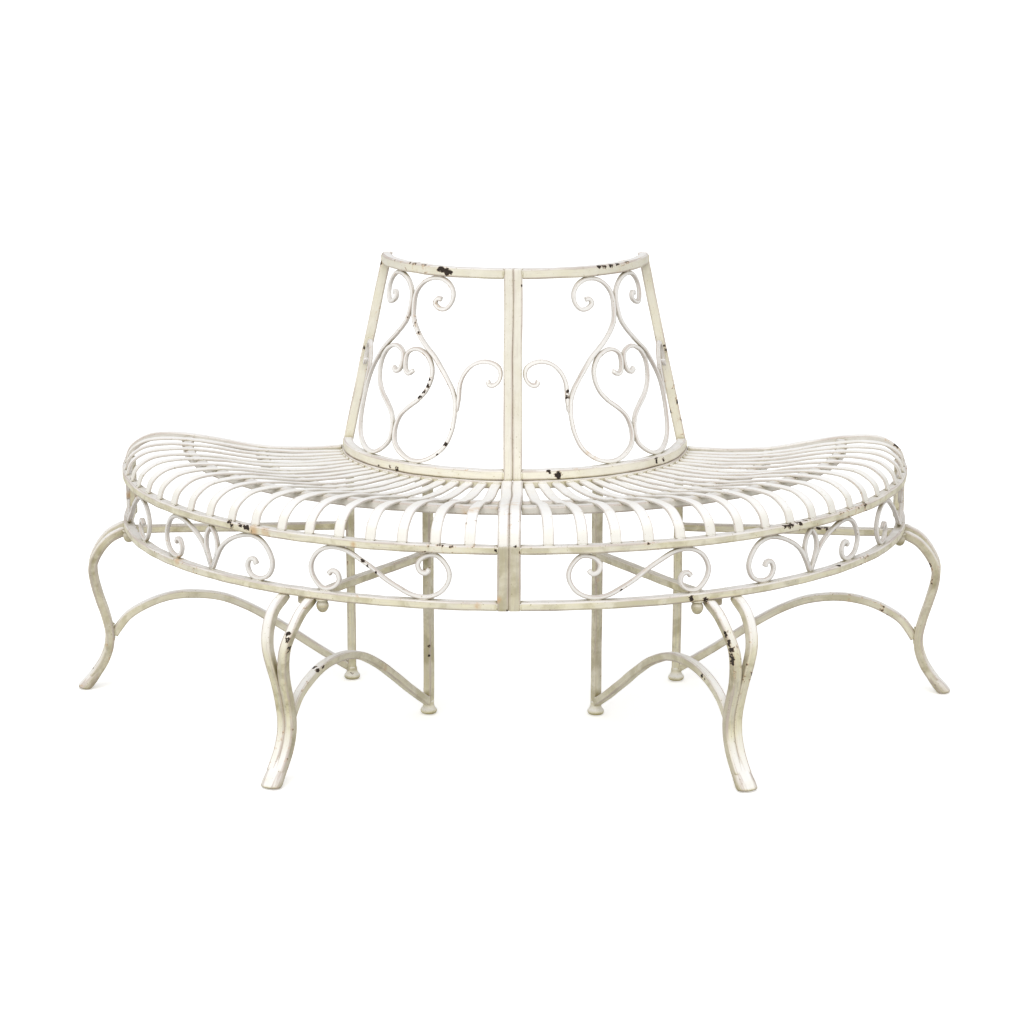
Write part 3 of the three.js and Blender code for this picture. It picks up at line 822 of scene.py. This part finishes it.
def seat_welds(draw):
    """Beads at both ends of each slat and where it crosses the hoops."""
    foot, head = SLAT_LINE[-1], SLAT_LINE[0]
    # Radius, height and thickness of the beads in front of and behind the foot, and at the head.
    spots = [
        (foot[0] + 2.0, SEAT_RIM_TOP + SLAT_BEAD_RISE, 1.3),
        (foot[0] - 3.2, SEAT_RIM_TOP + SLAT_BEAD_RISE, 1.9),
        (head[0] + 0.6, head[1] + 2.2, 2.2),
    ]
    for radius, top in zip(HOOP_RADII, HOOP_TOPS):
        spots.append((radius + SLAT_BEAD_RISE, top - 1.2, HOOP_BEAD_RADIUS))
        spots.append((radius - RAIL_DEPTH - SLAT_BEAD_RISE, top - 3.4, HOOP_BEAD_RADIUS))
    half = SLAT_WIDTH / 2 - SLAT_BEAD_MARGIN
    beads = []
    for azimuth in SLAT_AZIMUTHS:
        for radius, height, size in spots:
            one = bead((radius, height, -half), (radius, height, half), size, draw)
            beads.append(moved(one, stand(azimuth)))
    return joined(beads)


POST_BEAD_RADIUS = 1.7
POST_BEAD_DEPTH = 0.9
POST_BEAD_MARGIN = 2


def post_beads(outer_radius, bottom, height, joint, side, draw):
    """Upright beads at the front and the back of the joint between a rail and a post."""
    low, high = bottom + POST_BEAD_MARGIN, bottom + height - POST_BEAD_MARGIN
    beads = []
    for radius in (outer_radius - POST_BEAD_DEPTH, outer_radius - RAIL_DEPTH + POST_BEAD_DEPTH):
        one = bead((radius, low, joint), (radius, high, joint), POST_BEAD_RADIUS, draw)
        beads.append(moved(one, stand(side)))
    return beads


def frame_welds(draw):
    """Beads round the joints of posts, uprights and rails at both sides of a quarter."""
    beads = []
    for side in (0, 90):
        sign = -1 if side == 0 else 1
        joint = sign * (SEAM_HALF_GAP + POST_WIDTH)
        for bottom in (APRON_BOTTOM, SEAT_RIM_BOTTOM):
            beads += post_beads(RIM_RADIUS, bottom, RAIL_HEIGHT, joint, side, draw)
        joint = sign * (SEAM_HALF_GAP + UPRIGHT_WIDTH)
        for bottom in (BACK_BASE, BACK_TOP - BACK_RAIL_HEIGHT):
            face = back_radius(bottom + BACK_RAIL_HEIGHT / 2)
            beads += post_beads(face, bottom, BACK_RAIL_HEIGHT, joint, side, draw)
    return beads


LEG_BEAD_RADIUS = 2.2
LEG_BEAD_MARGIN = 1
# Beads on both sides of the arch, from one (radius, height) to another.
ARCH_HEAD_BEADS, ARCH_HEAD_BEAD_RADIUS = (((829, 96), (825, 111)), ((831, 126), (825, 134))), 2.6
ARCH_FOOT_BEAD, ARCH_FOOT_BEAD_RADIUS = ((352, 22), (350, 38)), 2.4
STRAND_BEAD_HALF_LENGTH = 8
STRAND_BEAD_DROP = 0.5


def leg_welds(draw):
    """Beads of one leg frame, in its radial plane."""
    half = LEG_BAR / 2 - LEG_BEAD_MARGIN
    inner_face = INNER_LEG_RADIUS + INNER_LEG_WIDTH / 2
    rim_face = RIM_RADIUS - RAIL_DEPTH
    inner_height, outer_height = BRACE_HEIGHTS
    brace_edges = (
        (inner_face, inner_height - half - 1), (inner_face, inner_height + half + 1),
        (rim_face, APRON_BOTTOM + 1.5), (rim_face, outer_height + half + 1),
    )
    beads = [bead((*edge, -half), (*edge, half), LEG_BEAD_RADIUS, draw) for edge in brace_edges]
    for start, end in ARCH_HEAD_BEADS:
        for z in (-half, half):
            beads.append(bead((*start, z), (*end, z), ARCH_HEAD_BEAD_RADIUS, draw))
    for side in (-1, 1):
        start, end = ((*point, side * half) for point in ARCH_FOOT_BEAD)
        beads.append(bead(start, end, ARCH_FOOT_BEAD_RADIUS, draw))
        middle = side * np.interp(APRON_BOTTOM, SPREAD[:, 0], SPREAD[:, 1])
        for edge in (-half, half):
            start, end = (
                (LEG_TOP_RADIUS + reach, APRON_BOTTOM - STRAND_BEAD_DROP, middle + edge)
                for reach in (-STRAND_BEAD_HALF_LENGTH, STRAND_BEAD_HALF_LENGTH)
            )
            beads.append(bead(start, end, LEG_BEAD_RADIUS, draw))
    return beads


# ---- Old paint, with painted shade and painted top light ----


def linear(red, green, blue):
    """Scene-linear colour of an sRGB one given as 0 to 255."""
    parts = [c / 255 for c in (red, green, blue)]
    return (*(c / 12.92 if c <= 0.04045 else ((c + 0.055) / 1.055) ** 2.4 for c in parts), 1.0)


class Graph:
    """Small helper that adds nodes to a material and links them."""

    def __init__(self, material):
        material.use_nodes = True
        self.tree = material.node_tree
        self.tree.nodes.clear()

    def node(self, kind, inputs=None, **settings):
        made = self.tree.nodes.new(kind)
        for key, value in settings.items():
            setattr(made, key, value)
        for key, value in (inputs or {}).items():
            self.feed(made.inputs[key], value)
        return made

    def feed(self, socket, value):
        if isinstance(value, bpy.types.NodeSocket):
            self.tree.links.new(value, socket)
        else:
            socket.default_value = value

    def math(self, operation, a, b=0.0, clamp=False):
        return self.node("ShaderNodeMath", {0: a, 1: b}, operation=operation, use_clamp=clamp).outputs[0]

    def noise(self, vector, scale, detail=3.0, roughness=0.5, distortion=0.0):
        inputs = {"Vector": vector, "Scale": scale, "Detail": detail}
        inputs |= {"Roughness": roughness, "Distortion": distortion}
        return self.node("ShaderNodeTexNoise", inputs).outputs["Fac"]

    def ease(self, value, low, high, to_low=0.0, to_high=1.0):
        inputs = {"Value": value, "From Min": low, "From Max": high}
        inputs |= {"To Min": to_low, "To Max": to_high}
        return self.node("ShaderNodeMapRange", inputs, interpolation_type="SMOOTHSTEP").outputs[0]

    def stretch(self, vector, scale, shift=(0, 0, 0)):
        inputs = {"Vector": vector, "Scale": scale, "Location": shift}
        return self.node("ShaderNodeMapping", inputs).outputs[0]

    def attribute(self, name, output="Fac"):
        return self.node("ShaderNodeAttribute", attribute_name=name).outputs[output]

    def times(self, a, b):
        return self.math("MULTIPLY", a, b)

    def plus(self, a, b):
        return self.math("ADD", a, b)

    def mix(self, share, a, b, blend="MIX"):
        made = self.node("ShaderNodeMix", data_type="RGBA", blend_type=blend)
        for key, value in ((0, share), (6, a), (7, b)):
            self.feed(made.inputs[key], value)
        return made.outputs[2]


# Near white: bleached paint, and the painted top light on upward faces.
BLEACHED_AND_LIT = linear(251, 250, 249)
CREAM = linear(246, 242, 227)
# Yellow of old paint, also used as painted shade on faces that turn down.
YELLOWED_AND_SHADED = linear(238, 231, 190)
# Olive of old paint, also used to darken corners as painted shade.
OLIVE = linear(180, 171, 126)
GREYED = linear(214, 211, 197)
# Mauve of thin worn paint, also used to darken bar edges, partly as painted shade.
MAUVE = linear(198, 184, 174)
SHADE = linear(150, 139, 127)
BARE_IRON = linear(40, 33, 27)
RUST = linear(108, 76, 52)
STAIN = linear(214, 178, 132)
CREVICE_REACH = 0.016
PAINT_RELIEF = 0.0009


def paint_fields(g):
    """What the layers of paint go by: slope, wear and known marks of the bar, and several noises."""
    place = g.node("ShaderNodeTexCoord").outputs["Object"]
    flow = g.attribute("bar_flow", "Vector")
    normal = g.node("ShaderNodeNewGeometry").outputs["Normal"]
    occlusion = g.node("ShaderNodeAmbientOcclusion", {"Distance": CREVICE_REACH}, samples=4)

    def shifted(*shift):
        return g.stretch(place, (1, 1, 1), shift)

    def brushed(lengthwise, across):
        return g.stretch(flow, (lengthwise, across, across))

    return SimpleNamespace(
        up=g.node("ShaderNodeSeparateXYZ", {"Vector": normal}).outputs["Z"],
        crevice=occlusion.outputs["AO"],
        wear=g.attribute("edge_wear"),
        bar_side=g.attribute("bar_side"),
        known_chip=g.attribute("known_chip"),
        known_stain=g.attribute("known_stain"),
        clouds=g.noise(place, 9.0, 3.0, 0.55),
        patches=g.noise(shifted(3.1, 7.7, 1.9), 38.0, 4.0, 0.6),
        blotches=g.noise(shifted(8.4, 1.6, 4.4), 21.0, 4.0, 0.62, 0.3),
        stains=g.noise(shifted(11.3, 2.2, 5.1), 7.0, 4.0, 0.62),
        torn=g.noise(place, 70.0, 5.0, 0.62, 0.7),
        spread=g.noise(shifted(5.5, 0.3, 9.2), 4.6, 2.0, 0.5),
        tatters=g.noise(place, 230.0, 3.0, 0.6),
        specks=g.noise(place, 330.0, 2.0, 0.5),
        lumps=g.noise(place, 130.0, 4.0, 0.6),
        grain=g.noise(place, 900.0, 2.0, 0.6),
        streaks=g.noise(brushed(9.0, 190.0), 1.0, 4.0, 0.6, 0.15),
        fine_streaks=g.noise(brushed(24.0, 620.0), 1.0, 3.0, 0.6),
        brush_marks=g.noise(brushed(30.0, 900.0), 1.0, 3.0),
    )


def aged_lit_and_shaded_coat(g, on, age, top_bleach_and_light, pale, shelter_and_shade_slope):
    """Cream paint, yellow, blotched and streaked, more so on faces that turn down (partly weathering,
    partly painted shade), and lightened on top (partly sun bleaching, partly painted top light).
    """
    # Faces that turn down go more yellow and darker: partly weathering, partly painted shade.
    sheltered_and_shaded = g.ease(on.up, *shelter_and_shade_slope)
    yellow = g.plus(g.times(sheltered_and_shaded, 0.45), g.times(on.patches, 0.6))
    yellow = g.plus(yellow, g.times(on.clouds, 0.55))
    paint = g.mix(g.ease(yellow, 0.5, 1.1, 0.0, 0.3 + 0.6 * age), CREAM, YELLOWED_AND_SHADED)
    # The olive blotches and grey streaks below are kept to the same down-turned faces, so they carry
    # painted shade too.
    damp_and_shade = g.ease(sheltered_and_shaded, 0.1, 0.9, 0.1, 1.0)
    blotched = g.times(g.ease(on.blotches, 0.44, 0.64), damp_and_shade)
    paint = g.mix(g.times(blotched, 0.3 + 0.6 * age), paint, OLIVE)
    streaked = g.times(g.ease(on.streaks, 0.46, 0.66), damp_and_shade)
    paint = g.mix(g.times(streaked, 0.2 + 0.4 * age), paint, GREYED)
    worn_thin = g.times(g.ease(on.fine_streaks, 0.5, 0.74), 0.15 + 0.35 * age)
    paint = g.mix(worn_thin, paint, MAUVE)
    # Painted top light: faces that turn up are lightened towards white, partly as sun bleaching.
    bleached_and_lit_top = g.times(g.ease(on.up, 0.1, 0.85), top_bleach_and_light)
    bleached_and_lit_top = g.times(bleached_and_lit_top, g.ease(on.patches, 0.8, 0.35, 0.6, 1.0))
    return g.mix(g.math("MAXIMUM", bleached_and_lit_top, pale), paint, BLEACHED_AND_LIT)


def dirtied_and_shaded(g, on, paint, side, shade):
    """Paint with painted shade on the sides of a bar, dirt and painted shade in its corners, edge
    rubbing that is partly painted shade, and rust stains.
    """
    # Painted shade: the chosen faces of a bar are multiplied towards the SHADE colour.
    painted_side_shade = g.times(g.ease(on.bar_side, *side), g.ease(on.patches, 0.3, 0.62, 0.55, 1.0))
    paint = g.mix(g.times(painted_side_shade, shade), paint, SHADE, "MULTIPLY")
    # Corners crowded by other parts are multiplied towards olive: partly dirt, partly painted shade.
    grime_and_shade = g.times(g.ease(on.crevice, 0.88, 0.3), g.ease(on.patches, 0.3, 0.6, 0.45, 0.95))
    paint = g.mix(grime_and_shade, paint, OLIVE, "MULTIPLY")
    # Bar edges are darkened towards mauve: partly worn paint, partly painted shade along the edges.
    rubbed_and_shaded_edges = g.times(g.ease(on.wear, 0.5, 1.0), g.ease(on.streaks, 0.42, 0.62, 0.2, 0.8))
    paint = g.mix(rubbed_and_shaded_edges, paint, MAUVE)
    anywhere = g.times(g.ease(on.stains, 0.66, 0.76), g.ease(on.patches, 0.4, 0.6, 0.1, 0.75))
    known = g.times(g.ease(on.known_stain, 0.0, 0.9), g.ease(on.patches, 0.34, 0.6, 0.25, 0.9))
    return g.mix(g.math("MAXIMUM", anywhere, known), paint, STAIN)


def chipped(g, on, paint, chips):
    """Paint with chips and specks in it, and the mask of the chips, which show the dark iron.

    Paint is loose in torn patches, a little more so on edges, and above all at the known places.
    """
    ragged = g.ease(on.tatters, 0.36, 0.64, 0.35, 1.0)
    loose = g.plus(g.times(on.torn, 0.6), g.times(on.spread, 0.45))
    loose = g.plus(loose, g.times(on.wear, 0.045))
    loose = g.plus(loose, g.times(g.times(on.known_chip, ragged), 0.62))
    limit = 0.735 - 0.05 * chips
    mask = g.ease(loose, limit, limit + 0.018)
    rim = g.ease(loose, limit - 0.035, limit)
    speck = g.ease(g.plus(on.specks, g.times(on.wear, 0.05)), 0.715, 0.75)
    paint = g.mix(g.times(rim, 0.55), paint, STAIN)
    paint = g.mix(g.times(speck, 0.75), paint, OLIVE, "MULTIPLY")
    iron = g.mix(g.ease(on.grain, 0.42, 0.7), BARE_IRON, RUST)
    iron = g.mix(g.ease(on.patches, 0.5, 0.62, 0.25, 0.0), BARE_IRON, iron)
    return g.mix(mask, paint, iron), mask


def relief(g, on, chip_mask):
    """Normal of brushed and lumpy paint, which lies lower where it has chipped off."""
    height = g.plus(g.times(on.brush_marks, 0.35), on.lumps)
    height = g.math("SUBTRACT", height, g.times(chip_mask, 0.55))
    height = g.plus(height, g.times(on.grain, 0.12))
    inputs = {"Height": height, "Strength": 0.55, "Distance": PAINT_RELIEF}
    return g.node("ShaderNodeBump", inputs).outputs[0]


def old_paint(
    slot, part, age, chips, top_bleach_and_light=1.0, shelter_and_shade_slope=(0.75, -0.55), side=(0.35, 1.0), shade=0.3, pale=0.0
):
    """Material and slot of cream brush paint on the iron of one kind of part.

    Age, from 0 to 1, is how yellow and streaked it is; chips how much paint has come off. Shelter is
    the range of upward slope over which it yellows and darkens, partly with age and partly as painted
    shade; side and shade say which faces of a bar get painted shade, and how much. Bleach is how far
    the top is lightened, partly sun bleaching and partly painted top light, and pale how far the whole
    bar.
    """
    material = bpy.data.materials.new(f"old_{part}_paint")
    g = Graph(material)
    on = paint_fields(g)
    paint = dirtied_and_shaded(g, on, aged_lit_and_shaded_coat(g, on, age, top_bleach_and_light, pale, shelter_and_shade_slope), side, shade)
    colour, chip_mask = chipped(g, on, paint, chips)
    dullness = g.plus(g.times(on.streaks, 0.22), g.times(on.patches, 0.16))
    bare = g.plus(0.34, g.times(chip_mask, 0.25))
    roughness = g.math("ADD", dullness, bare, clamp=True)
    inputs = {"Base Color": colour, "Roughness": roughness, "Normal": relief(g, on, chip_mask)}
    shader = g.node("ShaderNodeBsdfPrincipled", inputs)
    shader.inputs["Metallic"].default_value = 0.0
    shader.inputs["Specular IOR Level"].default_value = 0.4
    g.node("ShaderNodeOutputMaterial", {"Surface": shader.outputs[0]})
    return material, slot


# Painted shade on the flat faces of a bar rather than on those it is bent across.
FLAT_SIDES = (0.65, 0.0)
FRAME_PAINT = old_paint("frame_paint", "frame", age=0.62, chips=0.8)
# Lighter copy of the frame paint, with less painted shade, as painted light on the leaning back, which
# catches more light from above.
LIT_BACK_PAINT = old_paint("frame_paint", "back", age=0.3, chips=0.8, shelter_and_shade_slope=(0.5, -0.9), shade=0.15)
SEAT_PAINT = old_paint(
    "seat_paint", "seat", age=0.25, chips=0.1, shelter_and_shade_slope=(0, -0.7), side=FLAT_SIDES, shade=0.3, pale=0.5
)
SCROLL_PAINT = old_paint("scroll_paint", "scroll", age=0.0, chips=0.4, shade=0.38, pale=0.8)
LEG_PAINT = old_paint("leg_paint", "leg", age=0.85, chips=0.5, side=FLAT_SIDES, shade=0.4)
# Lighter copy of the leg paint, with little painted shade, as painted light on the arch.
LIT_ARCH_PAINT = old_paint("leg_paint", "arch", age=0.5, chips=0.5, side=FLAT_SIDES, shade=0.1)
# More yellow, less bleached copy of the leg paint for the inner legs and braces under the seat: partly
# older paint, partly painted shade.
SHADED_INNER_LEG_PAINT = old_paint("leg_paint", "inner_leg", age=1.0, chips=0.6, top_bleach_and_light=0.6, shade=0.3)
# The whole nut is darkened with painted shade, for the shade it sits in under the rim.
SHADED_NUT_PAINT = old_paint(
    "nut_paint", "nut", age=1.0, chips=1.0, top_bleach_and_light=0.0, side=(-1.0, 0.0), shade=0.45
)

# ---- The bench ----


def add(side, part, solid, paint):
    """Adds the iron of one named part of a quarter."""
    node = f"{side}_{part}"
    piece(f"{node}_iron", solid, paint, node, left=side == "left")


def add_frame(side):
    parts = {
        "seat_outer_rim": rail(RIM_RADIUS, SEAT_RIM_BOTTOM, POST_INSET),
        "seat_inner_rim": rail(BACK_BASE_RADIUS, INNER_RIM_TOP - RAIL_HEIGHT, SEAM_HALF_GAP),
        "apron_rim": rail(RIM_RADIUS, APRON_BOTTOM, POST_INSET),
        "apron_seam_post": apron_post(0),
        "apron_end_post": apron_post(90),
        "back_bottom_rail": back_rail(BACK_BASE),
        "back_top_rail": back_rail(BACK_TOP - BACK_RAIL_HEIGHT),
        "back_seam_upright": back_upright(0),
        "back_end_upright": back_upright(90),
    }
    for part, solid in parts.items():
        add(side, part, solid, LIT_BACK_PAINT if "back" in part else FRAME_PAINT)


def add_seat(side, draw):
    parts = {
        "seat_grille": seat_grille(draw),
        "seat_seam_bar": seat_side_bar(0),
        "seat_end_bar": seat_side_bar(90),
    }
    for part, solid in parts.items():
        add(side, part, solid, SEAT_PAINT)


APRON_SCROLLS = {
    "apron_seam_scroll": s_scroll_line(True),
    "apron_end_scroll": s_scroll_line(False),
}
LYRE_ARMS = [apron_fit(LYRE_ARM), apron_fit(mirrored(LYRE_ARM))]
LYRE_LEAF = [apron_fit(LEAF_SIDE), apron_fit(mirrored(LEAF_SIDE))]
BACK_SCROLLS = {
    "back_seam_strand": back_strand_line(True),
    "back_end_strand": back_strand_line(False),
    "back_seam_side_scroll": side_scroll_line(True),
    "back_end_side_scroll": side_scroll_line(False),
}


def add_scrolls(side):
    lyre = [scroll(line) for line in LYRE_ARMS] + [scroll(line, (False, False)) for line in LYRE_LEAF]
    parts = {part: scroll(line, (True, True)) for part, line in APRON_SCROLLS.items()}
    parts["apron_lyre"] = joined(lyre)
    for part, solid in parts.items():
        add(side, part, moved(solid, wrap_apron), SCROLL_PAINT)
    for part, line in BACK_SCROLLS.items():
        solid = scroll(line, (True, True), scarfed="side_scroll" in part)
        add(side, part, moved(solid, wrap_back), SCROLL_PAINT)


def add_leg_frames(side, draw):
    """Adds the two leg frames of a quarter, and gives back their weld beads."""
    beads = []
    for place, azimuth in LEG_AZIMUTHS.items():
        cabriole_leg = joined([leg_strand(-1), leg_strand(1), hoof()])
        parts = {
            "cabriole_leg": (cabriole_leg, LEG_PAINT),
            "arch_stretcher": (arch_stretcher(), LIT_ARCH_PAINT),
            "inner_leg": (inner_leg(), SHADED_INNER_LEG_PAINT),
            "brace": (brace(), SHADED_INNER_LEG_PAINT),
            "dome_nut": (dome_nut(), SHADED_NUT_PAINT),
        }
        for part, (solid, paint) in parts.items():
            add(side, f"{place}_{part}", moved(solid, stand(azimuth)), paint)
        beads += [moved(b, stand(azimuth)) for b in leg_welds(draw)]
    return beads


def add_welds(side, leg_beads, draw):
    apron = [*APRON_SCROLLS.values(), *LYRE_ARMS, *LYRE_LEAF]
    apron_rails = (APRON_BOTTOM + RAIL_HEIGHT, SEAT_RIM_BOTTOM)
    back_rails = (BACK_BASE + BACK_RAIL_HEIGHT, BACK_TOP - BACK_RAIL_HEIGHT)
    scroll_beads = scroll_welds(apron, *apron_rails, wrap_apron, draw)
    scroll_beads += scroll_welds(list(BACK_SCROLLS.values()), *back_rails, wrap_back, draw)
    groups = {
        "seat_welds": (seat_welds(draw), SEAT_PAINT),
        "scroll_welds": (joined(scroll_beads), SCROLL_PAINT),
        "frame_welds": (joined(frame_welds(draw)), FRAME_PAINT),
        "leg_welds": (joined(leg_beads), LEG_PAINT),
    }
    for part, (solid, paint) in groups.items():
        piece(f"{side}_{part}", solid, paint, left=side == "left")


for quarter, seed in (("right", 23), ("left", 11)):
    quarter_draw = np.random.default_rng(seed)
    add_frame(quarter)
    add_seat(quarter, quarter_draw)
    add_scrolls(quarter)
    add_welds(quarter, add_leg_frames(quarter, quarter_draw), quarter_draw)

# ---- Floor, light and camera ----

FLOOR_HALF = 120.0
FLOOR_DROP = 0.0006
FLOOR_GLOW = 0.4
FLOOR_COLOUR = linear(248, 248, 248)
SKY_ABOVE = (0.64, 0.64, 0.64, 1.0)
SKY_BELOW = (0.46, 0.445, 0.42, 1.0)
SOFTBOX_ENERGY = 1.7
SOFTBOX_ANGLE = 60
SOFTBOX_TURN = (44, -10, 0)
LENS = 97.49
CAMERA_PLACE = (0.068, -5.5909 + RING_CENTRE * MM, 1.596)
CAMERA_TURN = (90 - 12.6231, -0.0881, 0.77)


def in_radians(degrees):
    return [math.radians(angle) for angle in degrees]


def make_floor():
    mesh = bpy.data.meshes.new("floor")
    signs = ((-1, -1), (1, -1), (1, 1), (-1, 1))
    corners = [(x * FLOOR_HALF, y * FLOOR_HALF, -FLOOR_DROP) for x, y in signs]
    mesh.from_pydata(corners, [], [(0, 1, 2, 3)])
    material = bpy.data.materials.new("pale_floor")
    g = Graph(material)
    shader = g.node("ShaderNodeBsdfPrincipled")
    shader.inputs["Base Color"].default_value = FLOOR_COLOUR
    shader.inputs["Emission Color"].default_value = FLOOR_COLOUR
    shader.inputs["Emission Strength"].default_value = FLOOR_GLOW
    shader.inputs["Roughness"].default_value = 0.9
    shader.inputs["Specular IOR Level"].default_value = 0.1
    g.node("ShaderNodeOutputMaterial", {"Surface": shader.outputs[0]})
    mesh.materials.append(material)
    floor = bpy.data.objects.new("floor", mesh)
    bpy.context.scene.collection.objects.link(floor)
    floor.visible_diffuse = False


def make_light():
    """White sky above and a dimmer, warmer one below, with one wide light from the front and above."""
    world = bpy.data.worlds.new("soft_studio")
    g = Graph(world)
    direction = g.node("ShaderNodeTexCoord").outputs["Generated"]
    height = g.node("ShaderNodeSeparateXYZ", {"Vector": direction}).outputs["Z"]
    sky = g.mix(g.ease(height, -0.25, 0.25), SKY_BELOW, SKY_ABOVE)
    background = g.node("ShaderNodeBackground", {"Color": sky})
    background.inputs["Strength"].default_value = 1.0
    g.node("ShaderNodeOutputWorld", {"Surface": background.outputs[0]})
    bpy.context.scene.world = world
    sun = bpy.data.lights.new("front_softbox", "SUN")
    sun.energy = SOFTBOX_ENERGY
    sun.angle = math.radians(SOFTBOX_ANGLE)
    lamp = bpy.data.objects.new("front_softbox", sun)
    lamp.rotation_euler = in_radians(SOFTBOX_TURN)
    bpy.context.scene.collection.objects.link(lamp)


def make_camera():
    data = bpy.data.cameras.new("camera")
    data.sensor_width = 36.0
    data.lens = LENS
    data.clip_end = 400.0
    camera = bpy.data.objects.new("camera", data)
    camera.location = CAMERA_PLACE
    camera.rotation_euler = in_radians(CAMERA_TURN)
    bpy.context.scene.collection.objects.link(camera)
    bpy.context.scene.camera = camera


make_floor()
make_light()
make_camera()
bpy.context.scene.view_settings.view_transform = "Standard"
